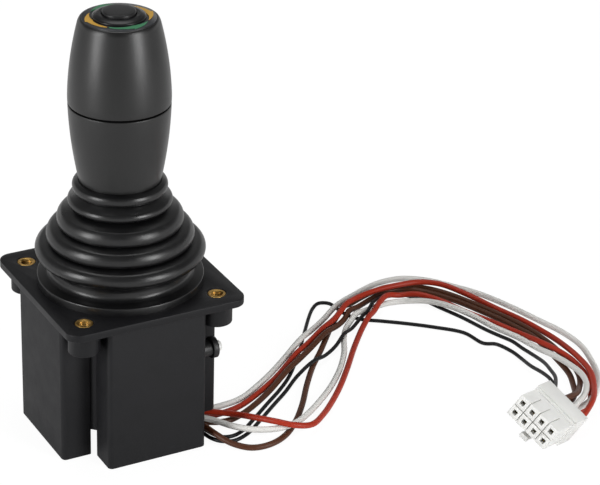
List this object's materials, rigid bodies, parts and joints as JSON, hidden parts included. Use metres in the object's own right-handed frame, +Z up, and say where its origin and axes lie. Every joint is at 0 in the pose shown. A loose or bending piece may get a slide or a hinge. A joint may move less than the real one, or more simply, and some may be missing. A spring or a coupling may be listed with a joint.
{
  "type": "industrial joystick",
  "caption": "Two-axis sprung joystick with a bellows, a twisting grip, a push button on top and a wired multi-way connector, for panel mounting on a square flange.",
  "frame": {"origin": "middle of the surface that the pods stand on, below the lever's axis", "axes": "+Z up along the lever at rest, -Y towards the front pod, +X towards the shallow pod that the wires leave under"},
  "size_m": [0.1921, 0.1335, 0.1412],
  "materials": {
    "flange_plastic": "fine moulded texture",
    "pod_plastic": "fine moulded texture",
    "brass": "turned, knurled outside",
    "bush_rubber": "moulded",
    "white_nylon": "satin",
    "plated_steel": "zinc plated",
    "board_laminate": "solder mask",
    "machined_aluminium": "machined",
    "bellows_rubber": "semi-gloss moulded",
    "bronze": "sintered",
    "sensor_plastic": "moulded",
    "spring_steel": "drawn wire",
    "ground_steel": "ground",
    "grip_plastic": "satin",
    "magnet_ferrite": "sintered",
    "switch_plastic": "moulded",
    "disc_plastic": "printed label",
    "yellow_ink": "printed",
    "green_ink": "printed",
    "bezel_plastic": "moulded",
    "button_plastic": "satin",
    "connector_nylon": "moulded nylon",
    "contact_brass": "tinned brass",
    "white_insulation": "extruded",
    "red_insulation": "extruded",
    "brown_insulation": "extruded",
    "black_insulation": "extruded"
  },
  "bodies": {
    "base": {"mounting_flange": "flange_plastic", "threaded_inserts": "brass", "core_housing": "flange_plastic", "front_pod": "pod_plastic", "rear_pod": "pod_plastic", "left_pod": "pod_plastic", "right_pod": "pod_plastic", "side_bush": "bush_rubber", "side_pin": "white_nylon", "bottom_cover": "flange_plastic", "cover_screws": "plated_steel", "circuit_board": "board_laminate", "cable_grommet": "bush_rubber", "restrictor_plate": "machined_aluminium", "restrictor_screws": "plated_steel", "bellows": "bellows_rubber", "bellows_retaining_ring": "flange_plastic", "gimbal_bearings": "bronze", "bail_bearings": "bronze", "left_tilt_sensor": "sensor_plastic", "front_tilt_sensor": "sensor_plastic", "right_centring_spring": "spring_steel", "rear_centring_spring": "spring_steel", "connector_housing": "connector_nylon", "connector_contacts": "contact_brass", "white_wire_1": "white_insulation", "red_wire_1": "red_insulation", "brown_wire_1": "brown_insulation", "black_wire_1": "black_insulation", "white_wire_2": "white_insulation", "red_wire_2": "red_insulation", "brown_wire_2": "brown_insulation", "black_wire_2": "black_insulation"},
    "gimbal": {"gimbal_ring": "machined_aluminium", "gimbal_pins": "ground_steel", "right_centring_arm": "plated_steel"},
    "bail": {"slotted_bail": "plated_steel", "bail_pins": "ground_steel", "rear_centring_arm": "plated_steel"},
    "lever": {"lever_shaft": "ground_steel", "lever_pivot_pin": "ground_steel", "pivot_washers": "white_nylon", "lower_grip": "grip_plastic", "grip_nut": "plated_steel", "seam_ring": "bush_rubber", "twist_sensor": "board_laminate", "twist_spring": "spring_steel", "retaining_ring": "spring_steel"},
    "twist_grip": {"upper_grip": "grip_plastic", "twist_carrier": "flange_plastic", "twist_bush": "bronze", "twist_magnet": "magnet_ferrite", "switch_body": "switch_plastic", "direction_disc": "disc_plastic", "yellow_arrows": "yellow_ink", "green_arrows": "green_ink", "button_bezel": "bezel_plastic", "button_spring": "spring_steel"},
    "button": {"push_button_cap": "button_plastic"}
  },
  "joints": [
    {"name": "tilt_x", "type": "hinge", "parent": "base", "child": "gimbal", "pos_m": [0, 0, 0.038], "axis": [1, 0, 0], "range_deg": [-20, 20], "stiffness_Nm_per_rad": 0.8, "deforming": ["bellows", "right_centring_spring"]},
    {"name": "tilt_y", "type": "hinge", "parent": "gimbal", "child": "lever", "pos_m": [0, 0, 0.038], "axis": [0, 1, 0], "range_deg": [-20, 20], "stiffness_Nm_per_rad": 0.8, "deforming": ["bellows", "rear_centring_spring"]},
    {"name": "bail_swing", "type": "hinge", "parent": "base", "child": "bail", "pos_m": [0, 0, 0.038], "axis": [0, 1, 0], "range_deg": [-20, 20], "deforming": ["rear_centring_spring"]},
    {"name": "grip_twist", "type": "hinge", "parent": "lever", "child": "twist_grip", "pos_m": [0, 0, 0.1], "axis": [0, 0, 1], "range_deg": [-32, 32], "stiffness_Nm_per_rad": 0.15, "deforming": ["twist_spring"]},
    {"name": "button_press", "type": "slide", "parent": "twist_grip", "child": "button", "axis": [0, 0, -1], "range_m": [0, 0.0015], "stiffness_N_per_m": 800, "springref_m": -0.002, "deforming": ["button_spring"]}
  ],
  "couplings": [
    {"joint": "bail_swing", "follows": "tilt_y", "ratio": 1}
  ]
}
